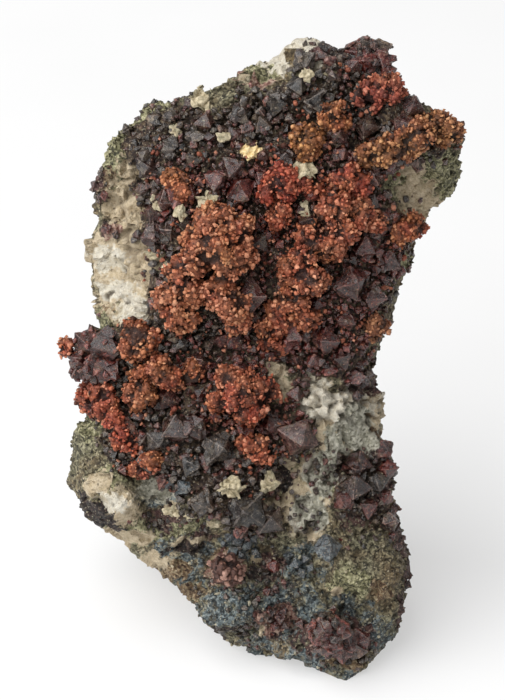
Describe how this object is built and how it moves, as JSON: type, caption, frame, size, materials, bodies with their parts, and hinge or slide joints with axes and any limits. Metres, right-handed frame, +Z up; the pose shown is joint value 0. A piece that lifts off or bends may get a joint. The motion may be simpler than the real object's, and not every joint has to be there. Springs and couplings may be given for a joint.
{
  "type": "mineral specimen",
  "caption": "Upright hand specimen of leaning broken rock, its face crusted with dark cuprite octahedra and knobbly native copper, on a flat base.",
  "frame": {"origin": "middle of the box around the specimen, on the floor under its flat base", "axes": "+Z up, -Y towards the crystal face, +X to the right as the face is seen"},
  "size_m": [0.0631, 0.0498, 0.0954],
  "materials": {
    "matrix": "rough broken rock, cream calcite and olive-grey grains with rusty and slate-blue stains",
    "cuprite": "dark purple-grey to maroon crystals with an adamantine to dull lustre",
    "copper": "granular native copper, tarnished reddish brown to ochre",
    "calcite": "pale cream flakes, slightly translucent"
  },
  "bodies": {
    "root": {"matrix_rock": "matrix", "cuprite_druse": "cuprite", "cuprite_cluster_left": "cuprite", "cuprite_cluster_top": "cuprite", "cuprite_rim_right": "cuprite", "cuprite_foot_cluster": "cuprite", "copper_dome": "copper", "copper_band": "copper", "copper_ridge": "copper", "copper_crest": "copper", "copper_tuft_ochre": "copper", "copper_tuft_high": "copper", "copper_reds": "copper", "copper_reds_right": "copper", "copper_heart": "copper", "copper_bunch_left": "copper", "copper_bunch_low_left": "copper", "copper_triangle": "copper", "copper_finger": "copper", "copper_knot_left": "copper", "copper_tuft_low": "copper", "copper_tuft_left_low": "copper", "copper_tuft_foot": "copper", "copper_edge_right": "copper", "copper_shoulder": "copper", "copper_tuft_upper_left": "copper", "copper_knob_edge": "copper", "calcite_flake_star": "calcite", "calcite_flake_upper": "calcite", "calcite_flake_left": "calcite", "calcite_flake_high": "calcite", "calcite_flake_low_left": "calcite", "calcite_flake_low_right": "calcite"}
  },
  "joints": []
}
